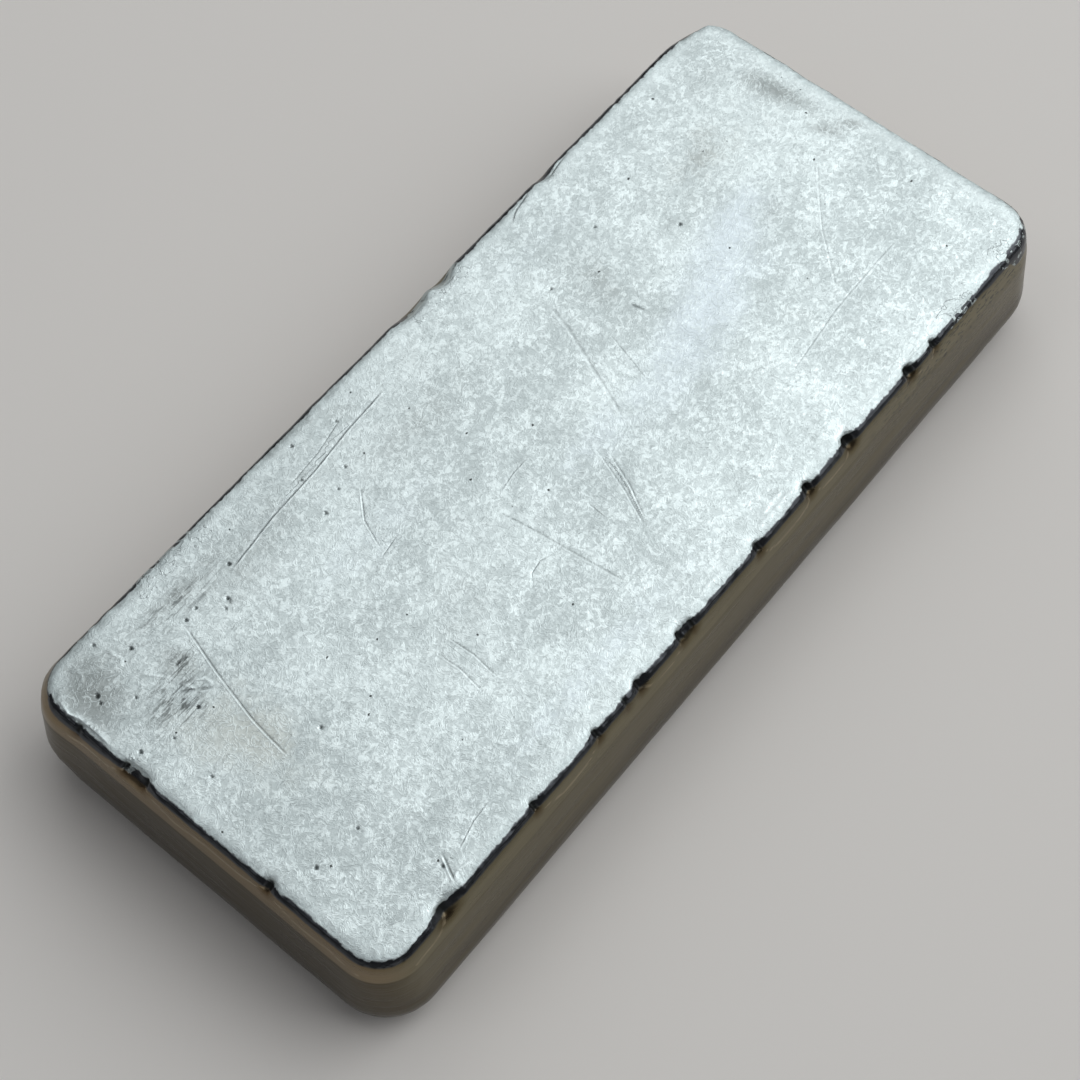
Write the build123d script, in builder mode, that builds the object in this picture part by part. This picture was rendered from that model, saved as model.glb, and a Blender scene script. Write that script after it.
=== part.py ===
import os
from math import cos, radians, sin, sqrt, tan

from build123d import *

# A hand-size bar of soft white metal, cast in one piece in an open mould and turned out upside down.
# X runs along the bar, Y across it, and Z up from the underside that it lies on, all in millimetres.

# Overall sizes
# The upper face lay on the mould's floor, so the walls widen below it.
face_length = 129.0
face_width = 55.0
height = 18.3

# Draft of the walls, in degrees from upright
# The shoulder under the rim leans more than the wall below it, and meets it in a crease.
shoulder_height = 4.2
shoulder_draft = 13.0
wall_draft = 8.0

# Corner radius of the upper face, seen from above; it grows with the draft towards the underside
face_corner_radius = 5.1

# Edge radii: the rim, where the metal did not quite fill the mould, and the poured edge below
rim_radius = 1.2
base_edge_radius = 4.8

# Knocks in the rim, each a round scoop: its place, its length along the rim and its depth
# A place runs from -1 at one end of the side to 1 at the other, along X or along Y.
right_knocks = (
    (0.63, 1.8, 0.4),
    (0.55, 2.4, 0.8),
    (0.35, 3.0, 1.0),
    (0.22, 2.6, 0.8),
    (0.06, 2.2, 0.6),
    (-0.16, 3.6, 0.8),
    (-0.29, 2.4, 0.7),
    (-0.42, 2.0, 0.5),
    (-0.59, 1.8, 0.4),
    (-0.83, 5.0, 0.8),
)
left_knocks = ((0.05, 6.0, 0.6), (0.14, 4.0, 0.8), (0.46, 3.0, 0.4))
near_knocks = ((0.38, 5.0, 0.7), (-0.37, 2.2, 0.6))

# The corner at the far end on the left is beaten to a small flat that leans back from upright.
flat_from_end = 6.0
flat_depth = 0.8
flat_turn = 16.0
flat_lean = 35.0

# The foot of the corner at the near end on the left did not fill, which left it a flat that faces
# the near end, turned towards the left side and leaning under.
foot_flat_depth = 0.9
foot_flat_turn = 19.0
foot_flat_lean = 14.0

# Levels and outlines that follow from the sizes above
crease_level = height - shoulder_height
flare = shoulder_height * tan(radians(shoulder_draft)) + crease_level * tan(radians(wall_draft))
base_length = face_length + 2 * flare
base_width = face_width + 2 * flare
base_corner_radius = face_corner_radius + flare
poured_edge_run = base_edge_radius / tan(radians(90 - wall_draft) / 2)


def scoop(length, depth):
    """Radius of the ball that bites this long and this deep, and how far out along the diagonal it sits."""
    radius = (length**2 / 4 + depth**2) / (2 * depth)
    rounded_away = rim_radius * (sqrt(2) - 1)
    outward = (radius - depth - rounded_away) / sqrt(2)
    return radius, outward


def facing(azimuth, rise):
    """Direction that points this far round from X and this far up from level, both in degrees."""
    level = cos(radians(rise))
    return Vector(level * cos(radians(azimuth)), level * sin(radians(azimuth)), sin(radians(rise)))


with BuildPart() as ingot:
    # The drafted bar, from the underside to the crease and on to the upper face
    with BuildSketch():
        RectangleRounded(base_length, base_width, base_corner_radius)
    extrude(amount=crease_level, taper=wall_draft)
    extrude(ingot.faces().sort_by(Axis.Z)[-1], amount=shoulder_height, taper=shoulder_draft)

    # The poured edge below and the rim above
    fillet(ingot.faces().sort_by(Axis.Z)[0].edges(), base_edge_radius)
    fillet(ingot.faces().sort_by(Axis.Z)[-1].edges(), rim_radius)

    # The knocks in both long rims
    for side, knocks in ((-1, right_knocks), (1, left_knocks)):
        for place, length, depth in knocks:
            radius, outward = scoop(length, depth)
            along = place * face_length / 2
            across = side * (face_width / 2 + outward)
            with Locations((along, across, height + outward)):
                Sphere(radius, mode=Mode.SUBTRACT)

    # The knocks in the rim of the near end
    for place, length, depth in near_knocks:
        radius, outward = scoop(length, depth)
        along = -face_length / 2 - outward
        across = place * face_width / 2
        with Locations((along, across, height + outward)):
            Sphere(radius, mode=Mode.SUBTRACT)

    # The beaten corner, cut by a plane that turns away from the long side and leans back
    middle_of_flat = (face_length / 2 - flat_from_end, face_width / 2 - flat_depth, height)
    split(bisect_by=Plane(origin=middle_of_flat, z_dir=facing(90 - flat_turn, flat_lean)), keep=Keep.BOTTOM)

    # The corner that did not fill, cut by a plane this deep in the poured edge's rounding
    corner_x = base_corner_radius - base_length / 2
    corner_y = base_width / 2 - base_corner_radius
    foot_way = facing(180 - foot_flat_turn, -foot_flat_lean)
    ring = (base_corner_radius - poured_edge_run) * cos(radians(foot_flat_lean))
    reach = ring + base_edge_radius - foot_flat_depth
    foot_flat = Vector(corner_x, corner_y, base_edge_radius) + foot_way * reach
    split(bisect_by=Plane(origin=foot_flat, z_dir=foot_way), keep=Keep.BOTTOM)

ingot.part.label = "ingot"
os.makedirs("parts", exist_ok=True)
export_step(ingot.part, "parts/ingot.step")
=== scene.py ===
import math
from collections import namedtuple

import bpy
import numpy as np
from bpy.props import FloatProperty, FloatVectorProperty, PointerProperty
from bpy.types import Operator, Panel, PropertyGroup
from mathutils import Matrix, Vector


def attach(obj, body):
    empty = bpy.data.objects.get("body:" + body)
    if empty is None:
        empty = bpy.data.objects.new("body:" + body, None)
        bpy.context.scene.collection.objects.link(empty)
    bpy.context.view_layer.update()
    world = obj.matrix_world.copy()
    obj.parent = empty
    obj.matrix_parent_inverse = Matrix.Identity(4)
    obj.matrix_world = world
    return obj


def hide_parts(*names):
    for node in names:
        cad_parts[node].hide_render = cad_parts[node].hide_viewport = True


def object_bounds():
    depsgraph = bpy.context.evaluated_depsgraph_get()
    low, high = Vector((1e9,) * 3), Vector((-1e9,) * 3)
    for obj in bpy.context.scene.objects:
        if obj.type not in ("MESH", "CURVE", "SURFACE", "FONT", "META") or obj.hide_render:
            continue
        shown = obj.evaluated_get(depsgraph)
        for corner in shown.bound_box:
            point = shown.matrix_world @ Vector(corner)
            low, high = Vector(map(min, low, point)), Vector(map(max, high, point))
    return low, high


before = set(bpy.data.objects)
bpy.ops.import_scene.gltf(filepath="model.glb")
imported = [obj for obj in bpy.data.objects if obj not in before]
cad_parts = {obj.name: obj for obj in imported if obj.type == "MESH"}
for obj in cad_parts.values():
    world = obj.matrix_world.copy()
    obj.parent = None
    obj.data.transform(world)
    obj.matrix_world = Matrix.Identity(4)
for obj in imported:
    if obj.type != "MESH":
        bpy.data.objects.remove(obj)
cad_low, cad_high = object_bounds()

bl_info = {
    "name": "Cast Metal Ingot",
    "version": (1, 0, 0),
    "blender": (4, 5, 0),
    "location": "View3D > Sidebar > Ingot",
    # The walls' tarnished look is their colour painted as a reflection of brown surroundings and
    # shade
    "description": "Dresses a cast tin bar: ragged rim, chips, scratches, pits and tarnished walls",
    "category": "Add Mesh",
}

MM = 0.001
HEIGHT = cad_high[2] / MM

# The upper face that the casting's solid has, in millimetres
FACE_LENGTH = 129.0
FACE_WIDTH = 55.0
FACE_CORNER = 5.1

# In millimetres: how deep under the upper face its marks may reach, how far round a mark the faces
# are made finer, how far in from an edge its side reaches, and a distance beyond any mark's reach.
FACE_LAYER = 0.6
MARK_MARGIN = 0.3
SIDE_MARGIN = 2.5
FAR_OFF = 9.0

# A scratch is a path over the upper face, in millimetres, with its width in millimetres, its depth
# as a share of the deepest, and its thrown-up lip: on its left (1), on its right (-1) or none (0).
# A lip lies on the bank that faces the light: it is raised a little, and its pale tone is a painted
# highlight; the groove's dark tone is painted shade.
Scratch = namedtuple("Scratch", "path width depth lip")
SCRATCHES = (
    Scratch(
        ((-47.0, 19.0), (-49.1, 11.6), (-50.7, 4.7), (-51.1, 1.8), (-51.5, -2.0)),
        0.11, 0.55, -1,
    ),
    Scratch(((14.6, 13.8), (13.3, 9.5), (10.8, 3.7), (7.6, -3.8)), 0.20, 0.35, -1),
    Scratch(((16.0, 5.3), (14.8, 1.0), (13.5, -3.1)), 0.08, 0.35, -1),
    Scratch(((21.1, 6.1), (21.6, 3.6)), 0.12, 0.8, 0),
    Scratch(((2.0, -3.9), (-0.2, -10.0), (-2.6, -15.2)), 0.10, 0.35, -1),
    Scratch(((2.7, -5.2), (0.8, -10.0), (-2.0, -14.9)), 0.10, 0.4, -1),
    Scratch(((-12.2, -0.1), (-11.4, -5.0), (-10.8, -10.0), (-9.7, -18.4)), 0.12, 0.35, -1),
    Scratch(((-12.1, -8.9), (-14.2, -8.2), (-16.0, -8.5), (-17.2, -9.7)), 0.08, 0.5, 0),
    Scratch(((-3.7, 1.9), (-7.0, 1.9), (-10.5, 1.3)), 0.10, 0.3, 1),
    Scratch(((-4.4, -7.6), (-4.7, -11.1)), 0.08, 0.4, 0),
    Scratch(((-28.7, -5.9), (-28.4, -10.0), (-28.9, -14.0)), 0.10, 0.35, -1),
    Scratch(((-31.0, -6.3), (-30.8, -10.0), (-31.4, -14.3)), 0.10, 0.35, -1),
    Scratch(((-20.1, 15.1), (-23.3, 11.6), (-25.0, 7.4)), 0.10, 0.5, -1),
    Scratch(((-22.1, 7.3), (-26.0, 6.7)), 0.09, 0.5, 0),
    Scratch(
        ((-7.9, 21.9), (-15.0, 21.6), (-22.0, 20.9), (-30.0, 20.6), (-38.4, 19.6)),
        0.13, 0.5, 1,
    ),
    Scratch(((-14.0, 23.4), (-20.0, 22.2), (-26.0, 21.8)), 0.10, 0.45, 0),
    Scratch(((54.4, 0.8), (49.8, -2.8), (45.7, -6.3), (39.0, -13.6)), 0.12, 0.25, -1),
    Scratch(((50.7, -14.7), (45.9, -14.6), (36.9, -14.8), (26.1, -16.0)), 0.12, 0.25, 1),
    Scratch(((-49.1, -22.7), (-50.9, -26.4)), 0.13, 0.9, -1),
    Scratch(((-40.6, -22.8), (-44.0, -23.0), (-48.3, -24.1)), 0.09, 0.35, 1),
    Scratch(((26.4, 26.9), (22.7, 26.2), (20.9, 25.2)), 0.13, 1.0, 0),
    Scratch(((33.8, 26.9), (29.2, 26.2)), 0.12, 1.0, 0),
    Scratch(((-52.0, 16.2), (-50.6, 16.2), (-49.2, 16.0)), 0.20, 0.8, 0),
    Scratch(((-54.2, 13.9), (-51.9, 12.0), (-50.3, 10.4)), 0.16, 0.7, 0),
    Scratch(((-46.7, 19.9), (-44.0, 20.0), (-41.3, 19.9)), 0.24, 0.5, 0),
)

# A ridge is a raised fold of the cast skin: its path, width and height, all in millimetres
# A ridge's pale tone is a painted highlight on the raised fold
Ridge = namedtuple("Ridge", "path width height")
RIDGES = (
    Ridge(((-55.0, 19.4), (-54.5, 18.0), (-53.6, 16.6), (-53.0, 15.4), (-52.7, 14.3)), 0.14, 0.06),
    Ridge(((-52.7, 14.3), (-52.4, 13.0), (-51.9, 11.5), (-50.9, 10.8)), 0.14, 0.07),
    Ridge(((-52.0, 12.6), (-51.3, 13.0), (-50.5, 12.5), (-50.4, 11.5), (-50.9, 10.8)), 0.16, 0.08),
    Ridge(((-54.8, 24.1), (-55.1, 22.9), (-54.9, 21.5), (-56.2, 20.6)), 0.14, 0.06),
    Ridge(((-59.0, 25.6), (-59.3, 23.7), (-60.2, 22.3)), 0.16, 0.04),
    Ridge(
        ((-60.0, 5.7), (-59.7, 4.4), (-59.2, 3.5), (-58.4, 3.4), (-56.3, 3.5), (-53.9, 3.6)),
        0.11, 0.05,
    ),
    Ridge(((13.2, -26.1), (11.0, -25.7), (8.7, -26.0), (6.6, -25.7), (5.0, -26.0)), 0.19, 0.08),
    Ridge(((12.0, -25.0), (9.5, -24.8), (7.4, -25.1)), 0.16, 0.05),
    Ridge(((-1.0, -25.9), (-4.0, -25.6), (-6.6, -26.0)), 0.18, 0.07),
    Ridge(((22.0, -26.3), (24.5, -25.8), (28.0, -26.1), (31.0, -25.9)), 0.16, 0.05),
    Ridge(((-47.0, -26.0), (-49.5, -25.4), (-51.5, -26.0), (-53.0, -25.6)), 0.14, 0.09),
    Ridge(((-50.6, -25.0), (-52.0, -25.1), (-53.4, -24.8)), 0.13, 0.07),
    Ridge(((44.0, -26.9), (46.2, -26.6), (48.0, -26.9), (49.6, -26.6)), 0.13, 0.08),
    Ridge(((-63.3, 13.2), (-63.0, 11.6), (-63.3, 10.2)), 0.13, 0.08),
    Ridge(
        ((-62.9, 24.4), (-63.7, 21.6), (-63.3, 20.0), (-63.1, 18.0), (-63.4, 15.8), (-63.6, 13.9)),
        0.22, 0.14,
    ),
)

# Open pits in the upper face: where they are and their radius, in millimetres
PITS = (
    (-21.3, 25.3, 0.24),
    (-19.3, 18.3, 0.22),
    (-22.1, 16.9, 0.18),
    (-25.5, 15.9, 0.24),
    (-24.0, 21.2, 0.18),
    (-15.2, 23.4, 0.18),
    (34.7, 8.4, 0.26),
    (16.5, 15.1, 0.20),
    (27.4, 16.7, 0.18),
    (-59.3, -13.0, 0.28),
    (-52.9, -13.5, 0.20),
    (-50.2, -23.8, 0.26),
    (-53.2, 21.7, 0.30),
    (-61.8, 11.8, 0.28),
    (-60.0, 20.5, 0.34),
    (-60.4, 19.6, 0.22),
    (-57.3, 16.9, 0.20),
    (-41.3, 17.3, 0.30),
    (-44.6, 19.4, 0.22),
    (-42.4, 16.6, 0.20),
    (-46.5, 19.2, 0.24),
    (-53.6, 10.5, 0.28),
    (-58.1, 10.0, 0.18),
    (-46.5, -2.2, 0.24),
    (-58.8, 3.4, 0.22),
    (-37.9, 20.3, 0.28),
    (-55.7, 25.4, 0.20),
)

# A patch is a soft-edged part of the upper face: its middle, length, width and strength, with how
# far it is turned from the bar's length, in millimetres and degrees.
Patch = namedtuple("Patch", "x y length width turn strength")

# Where a grey film lies, and two broad weak patches over the left half that are partly painted shade
GREY_FILM_AND_SHADE_PATCHES = (
    Patch(-60.0, 21.5, 13.0, 8.5, 60.0, 0.92),
    Patch(-55.0, 13.2, 10.0, 6.0, 0.0, 0.45),
    Patch(-51.0, 16.5, 5.0, 4.0, 90.0, 0.60),
    Patch(-45.5, 22.3, 13.0, 3.2, 0.0, 0.55),
    Patch(-37.0, 18.5, 16.0, 7.0, 10.0, 0.45),
    Patch(-51.3, 1.3, 5.0, 7.0, 0.0, 0.40),
    Patch(60.0, 11.1, 14.0, 3.4, 96.0, 0.80),
    Patch(58.7, 2.7, 6.0, 2.4, 110.0, 0.65),
    Patch(61.8, 0.7, 4.0, 2.2, 120.0, 0.65),
    Patch(44.0, 12.6, 16.0, 7.0, 15.0, 0.50),
    Patch(21.0, 10.5, 16.0, 8.0, 70.0, 0.50),
    Patch(-8.0, 15.0, 20.0, 7.0, 0.0, 0.35),
    Patch(-26.0, -6.0, 18.0, 9.0, 20.0, 0.35),
    Patch(55.0, 20.0, 6.0, 5.0, 0.0, 0.45),
    # These two broad weak patches are partly painted shade: the face darkens towards the left, where
    # less light falls.
    Patch(-16.0, 24.0, 56.0, 14.0, 0.0, 0.38),
    Patch(-18.0, 6.0, 46.0, 30.0, 0.0, 0.20),
    Patch(43.5, 0.5, 7.0, 5.0, 30.0, 0.45),
    Patch(56.0, 12.0, 14.0, 12.0, 0.0, 0.30),
)

# Where the film is warm, like buff paper
BUFF_PATCHES = (
    Patch(-52.0, 3.0, 12.0, 18.0, 0.0, 0.75),
    Patch(-57.0, 8.0, 8.0, 8.0, 0.0, 0.35),
    Patch(46.0, 12.0, 22.0, 14.0, 0.0, 0.35),
    Patch(30.0, -12.0, 30.0, 12.0, 0.0, 0.25),
)

# Where the metal is rubbed smooth and shines a cooler white
RUBBED_PATCHES = (
    Patch(27.0, -2.0, 34.0, 12.0, 15.0, 0.80),
    Patch(39.0, 3.5, 14.0, 6.0, 10.0, 0.70),
    Patch(4.0, -3.0, 22.0, 7.0, 0.0, 0.45),
    Patch(-25.0, 10.0, 26.0, 10.0, 0.0, 0.40),
    Patch(-20.0, -22.0, 44.0, 6.0, 0.0, 0.50),
    Patch(20.0, 20.0, 26.0, 6.0, -5.0, 0.40),
)

# Where dark streaks run along the bar
STREAK_PATCHES = (
    Patch(-54.3, 12.6, 8.0, 7.0, 20.0, 1.0),
    Patch(-50.5, 15.8, 4.5, 2.5, 0.0, 0.9),
    Patch(-45.5, 21.6, 14.0, 3.6, 0.0, 0.75),
    Patch(36.0, -26.0, 8.0, 3.0, 0.0, 0.4),
)

# A chip is a bite out of the rim: its side, its place along that side, its length and its depth
Chip = namedtuple("Chip", "side place length depth")
CHIPS = (
    Chip("right", 40.7, 1.0, 0.35),
    Chip("right", 35.6, 1.8, 0.50),
    Chip("right", 22.8, 1.8, 0.55),
    Chip("right", 14.3, 1.5, 0.60),
    Chip("right", 4.0, 1.2, 0.35),
    Chip("right", -9.0, 0.9, 0.30),
    Chip("right", -11.1, 1.1, 0.35),
    Chip("right", -19.0, 1.2, 0.35),
    Chip("right", -21.8, 0.9, 0.25),
    Chip("right", -26.9, 1.0, 0.30),
    Chip("right", -38.2, 1.0, 0.30),
    Chip("right", -53.8, 2.4, 0.35),
    Chip("near", 12.1, 1.2, 0.35),
    Chip("near", 9.0, 1.0, 0.30),
    Chip("near", -10.1, 1.2, 0.35),
    Chip("near", 19.5, 1.4, 0.25),
    Chip("left", 45.0, 1.4, 0.15),
)

# Where the rim is torn into bright slivers: the side and the stretch of it, in millimetres, and the
# share of the rim's dark band, a painted reflection of the dark room, that they break through
BURRS = (
    ("right", 43.5, 50.0, 0.50),
    ("right", 56.0, 66.0, 0.40),
    ("near", 10.8, 12.6, 0.65),
    ("left", 2.0, 12.0, 0.90),
    ("left", -48.0, -36.0, 0.50),
)

# Where the rim's dark band, a painted reflection of the dark room, is wider or narrower than
# elsewhere: the side, the stretch of it, and how much further the band reaches on to the face and
# down the wall, in millimetres.
DARK_REFLECTION_REACH = (
    ("right", 58.0, 68.0, 0.35, 2.3),
    ("right", 52.0, 59.0, 0.1, 0.5),
    ("near", 15.0, 24.0, 0.15, 0.45),
    ("left", -68.0, -50.0, -0.5, -0.5),
    ("left", -50.0, 0.0, -0.15, -0.2),
    ("far", -30.0, 30.0, -0.6, -0.4),
)

# A lap is a pale line where the metal set in steps: its side and its path, as pairs of the place
# along that side and the depth below the upper face, in millimetres.
LAPS = (
    ("right", ((14.2, 1.2), (13.0, 2.5), (10.5, 3.0), (7.5, 3.0), (5.5, 2.4), (4.3, 1.4))),
    ("right", ((22.6, 1.2), (21.5, 2.2), (18.5, 2.6), (16.2, 2.3), (14.8, 1.3))),
    ("right", ((-11.5, 1.3), (-13.5, 2.4), (-17.0, 2.2), (-18.8, 1.2))),
    ("right", ((-27.2, 1.2), (-29.5, 2.6), (-34.0, 2.9), (-37.5, 1.6))),
    ("right", ((-54.0, 1.4), (-56.0, 2.6), (-60.0, 3.1))),
    ("right", ((40.5, 1.3), (39.0, 2.8), (36.2, 1.5))),
    ("near", ((12.5, 1.2), (14.5, 2.4), (18.5, 2.2), (22.0, 3.0))),
    ("near", ((-10.0, 1.2), (-6.5, 2.2), (-1.0, 2.0), (4.0, 2.6), (8.6, 1.3))),
    ("near", ((-10.8, 1.4), (-15.0, 2.7), (-20.0, 2.3), (-24.0, 3.2))),
)


def linear(code):
    """Linear colour of an sRGB hex code such as #D8D4CC."""
    shares = [int(code[i : i + 2], 16) / 255 for i in (1, 3, 5)]
    return tuple(s / 12.92 if s <= 0.04045 else ((s + 0.055) / 1.055) ** 2.4 for s in shares)


class IngotForm(PropertyGroup):
    """Sizes of the dressed bar."""

    voxel: FloatProperty(
        name="Skin grain", description="Side of a face of the remade skin",
        default=0.67 * MM, min=0.4 * MM, unit="LENGTH",
    )
    rim_band: FloatProperty(
        name="Rim band", description="Width each side of the rim that gets fine faces",
        default=1.1 * MM, unit="LENGTH",
    )
    rag: FloatProperty(
        name="Ragged rim", description="How far the rim wanders in and out",
        default=0.13 * MM, unit="LENGTH",
    )
    underside_lift: FloatProperty(
        name="Underside lift", description="Keeps the underside's swell above the floor",
        default=0.067 * MM, unit="LENGTH",
    )
    corner_fill: FloatProperty(
        name="Corner fill", description="How far the wall of the near corner on the left bulges",
        default=0.45 * MM, unit="LENGTH",
    )
    swell: FloatProperty(
        name="Swell", description="Broad unevenness of the cast surface",
        default=0.12 * MM, unit="LENGTH",
    )
    scratch_depth: FloatProperty(
        name="Scratch depth", description="Depth of the deepest scratch",
        default=0.06 * MM, unit="LENGTH",
    )
    pit_depth: FloatProperty(
        name="Pit depth", description="Depth of an open pit",
        default=0.30 * MM, unit="LENGTH",
    )


class IngotFinish(PropertyGroup):
    """Colours of the bar, the walls' and the rim's with painted reflection and shade in them."""

    bright: FloatVectorProperty(
        name="Bright tin", description="Rubbed high spots of the upper face",
        subtype="COLOR", default=linear("#EEFBFC"),
    )
    dull: FloatVectorProperty(
        name="Dull tin", description="Clouded parts of the upper face",
        subtype="COLOR", default=linear("#BDC9CA"),
    )
    # Also painted shade where it lies in the two broad patches over the left half
    stain_and_shade: FloatVectorProperty(
        name="Stain", description="Grey film left on the upper face",
        subtype="COLOR", default=linear("#8B9291"),
    )
    rubbed: FloatVectorProperty(
        name="Rubbed tin", description="Smooth, cooler parts of the upper face",
        subtype="COLOR", default=linear("#DEEBF2"),
    )
    buff: FloatVectorProperty(
        name="Buff film", description="Warm film left on the upper face",
        subtype="COLOR", default=linear("#BFC5BF"),
    )
    # Painted shade in pits, pin holes, chips and scratch grooves; also the colour of the dark
    # streaks and specks
    pit: FloatVectorProperty(
        name="Pit", description="Dirt in pits and scratches",
        subtype="COLOR", default=linear("#2F3231"),
    )
    # Painted reflection: the near-black band where the rounded rim mirrors the dark room
    edge: FloatVectorProperty(
        name="Cold edge", description="Dark film where the rim missed the mould",
        subtype="COLOR", default=linear("#4A4D51"),
    )
    # Painted reflection: the light band where the wall above the crease mirrors brown surroundings
    shoulder_reflection: FloatVectorProperty(
        name="Shoulder", description="Light band under the rim of the long sides",
        subtype="COLOR", default=linear("#777059"),
    )
    # Painted reflection: that band on the near end, where it mirrors the lit floor beyond the bar's
    # shadow
    end_shoulder_reflection: FloatVectorProperty(
        name="End shoulder", description="Lighter, browner band under the rim of the near end",
        subtype="COLOR", default=linear("#807159"),
    )
    # Painted shade: the near end's wall mirrors the floor in the bar's shadow, so it is darker and
    # browner
    end_wall_shade: FloatVectorProperty(
        name="End wall", description="Darker, browner film of the near end",
        subtype="COLOR", default=linear("#4B412B"),
    )
    # Painted reflection: the brown-olive of the glossy wall below the crease, mirroring brown
    # surroundings
    wall: FloatVectorProperty(
        name="Wall", description="Tarnished mould side",
        subtype="COLOR", default=linear("#686049"),
    )
    # Painted shade: the foot of the wall mirrors the shadow round the bar's base, so it is browner
    foot_shade: FloatVectorProperty(
        name="Foot of the wall", description="Browner film near the underside",
        subtype="COLOR", default=linear("#4E4636"),
    )
    # Painted shade: brown on the wall just below each chip
    chip_shade: FloatVectorProperty(
        name="Smear", description="Brown smear below a chip",
        subtype="COLOR", default=linear("#4A3A28"),
    )
    lap: FloatVectorProperty(
        name="Lap line", description="Pale line where the metal set in steps",
        subtype="COLOR", default=linear("#A3977F"),
    )


# A light: its name, elevation and azimuth in degrees, and its distance and size in metres
Lamp = namedtuple("Lamp", "name elevation azimuth distance size")
LAMPS = (
    Lamp("overhead", 54.0, 22.0, 1.5, 2.0),
    Lamp("side", 45.0, -40.0, 1.2, 1.1),
    Lamp("behind", 58.0, 140.0, 1.4, 0.6),
)


class IngotStage(PropertyGroup):
    """Floor, light and camera."""

    floor: FloatVectorProperty(
        name="Floor", description="Matt paint of the floor",
        subtype="COLOR", default=linear("#E8E6E2"),
    )
    room: FloatVectorProperty(
        name="Room", description="Dim light from all round",
        subtype="COLOR", default=(0.10, 0.10, 0.105),
    )
    aim: FloatVectorProperty(
        name="Aim", description="What the camera points at, on the upper face",
        default=(-11.98 * MM, -6.46 * MM, HEIGHT * MM), subtype="XYZ", unit="LENGTH",
    )
    lens: FloatProperty(
        name="Lens", description="Focal length for a 36 mm sensor",
        default=71.28, unit="CAMERA",
    )
    distance: FloatProperty(
        name="Distance", description="From the upper face to the lens",
        default=256.4 * MM, unit="LENGTH",
    )
    elevation: FloatProperty(
        name="Elevation", description="Camera above the level",
        default=math.radians(63.64), unit="ROTATION",
    )
    azimuth: FloatProperty(
        name="Azimuth", description="Camera round from +X",
        default=math.radians(-139.91), unit="ROTATION",
    )
    roll: FloatProperty(
        name="Roll", description="Camera about its own axis",
        default=math.radians(0.81), unit="ROTATION",
    )
    side_power: FloatProperty(
        name="Side light", description="Power of the light at the right",
        default=5.6, unit="POWER",
    )
    overhead_power: FloatProperty(
        name="Overhead light", description="Power of the large soft light",
        default=11.7, unit="POWER",
    )
    behind_power: FloatProperty(
        name="Light behind", description="Power of the light that the near rim shows",
        default=1.1, unit="POWER",
    )


def smooth_step(low, high, value):
    """Share from 0 at low to 1 at high, eased at both ends."""
    share = np.clip((value - low) / (high - low), 0.0, 1.0)
    return share * share * (3.0 - 2.0 * share)


def plateau(value, rise, top, edge, fall):
    """Share that rises from 0 to 1 between rise and top, and falls to 0 between edge and fall."""
    return smooth_step(rise, top, value) * (1.0 - smooth_step(edge, fall, value))


def places(bar):
    """Places of the bar's vertices in millimetres, one row each."""
    flat = np.empty(len(bar.data.vertices) * 3)
    bar.data.vertices.foreach_get("co", flat)
    return flat.reshape(-1, 3) / MM


def face_middles(bar):
    """Middles of the bar's faces in millimetres."""
    flat = np.empty(len(bar.data.polygons) * 3)
    bar.data.polygons.foreach_get("center", flat)
    return flat.reshape(-1, 3) / MM


def rim_places(points):
    """How far in each point is from the outline of the upper face, less how far below that it is."""
    reach = np.abs(points[:, :2]) - (FACE_LENGTH / 2 - FACE_CORNER, FACE_WIDTH / 2 - FACE_CORNER)
    outside = np.linalg.norm(np.maximum(reach, 0.0), axis=1)
    inside = np.minimum(reach.max(axis=1), 0.0)
    inset = FACE_CORNER - outside - inside
    below = HEIGHT - points[:, 2]
    low = points[:, 2] < HEIGHT / 2
    inset[low] = np.minimum(inset[low], 0.0)
    return inset - below


def on_upper_face(points, layer=FACE_LAYER):
    """Which points lie on the upper face, or below it within this layer."""
    return points[:, 2] > HEIGHT - layer


def side_places(points, side):
    """Places along one side of the bar, and which points are at that side's edge or on its wall."""
    axis, sign = {"right": (0, -1), "left": (0, 1), "near": (1, -1), "far": (1, 1)}[side]
    outwards = sign * points[:, 1 - axis]
    edge = (FACE_WIDTH, FACE_LENGTH)[axis] / 2
    return points[:, axis], outwards > edge - SIDE_MARGIN


def in_stretch(along, start, end, ease=1.0):
    """How far each place along a side is within a stretch of it, eased at both ends."""
    return plateau(along, start - ease, start + ease, end - ease, end + ease)


def across_path(points, path):
    """Each point's signed distance from a path, the nearest place along it, and its length."""
    nearest = np.full(len(points), np.inf)
    across = np.zeros(len(points))
    along = np.zeros(len(points))
    passed = 0.0
    for start, end in zip(path, path[1:]):
        start, end = np.array(start), np.array(end)
        length = np.linalg.norm(end - start)
        way = (end - start) / length
        offset = points[:, :2] - start
        run = np.clip(offset @ way, 0.0, length)
        gap = np.linalg.norm(offset - run[:, None] * way, axis=1)
        side = np.where(way[0] * offset[:, 1] - way[1] * offset[:, 0] < 0, -1.0, 1.0)
        nearer = gap < nearest
        nearest[nearer] = gap[nearer]
        across[nearer] = (gap * side)[nearer]
        along[nearer] = (passed + run)[nearer]
        passed += length
    return across, along, passed


def deselect_all():
    """Leaves nothing selected, in object mode."""
    if bpy.context.object and bpy.context.object.mode != "OBJECT":
        bpy.ops.object.mode_set(mode="OBJECT")
    bpy.ops.object.select_all(action="DESELECT")


def make_active(piece):
    """Selects one piece alone."""
    deselect_all()
    piece.select_set(True)
    bpy.context.view_layer.objects.active = piece


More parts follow.
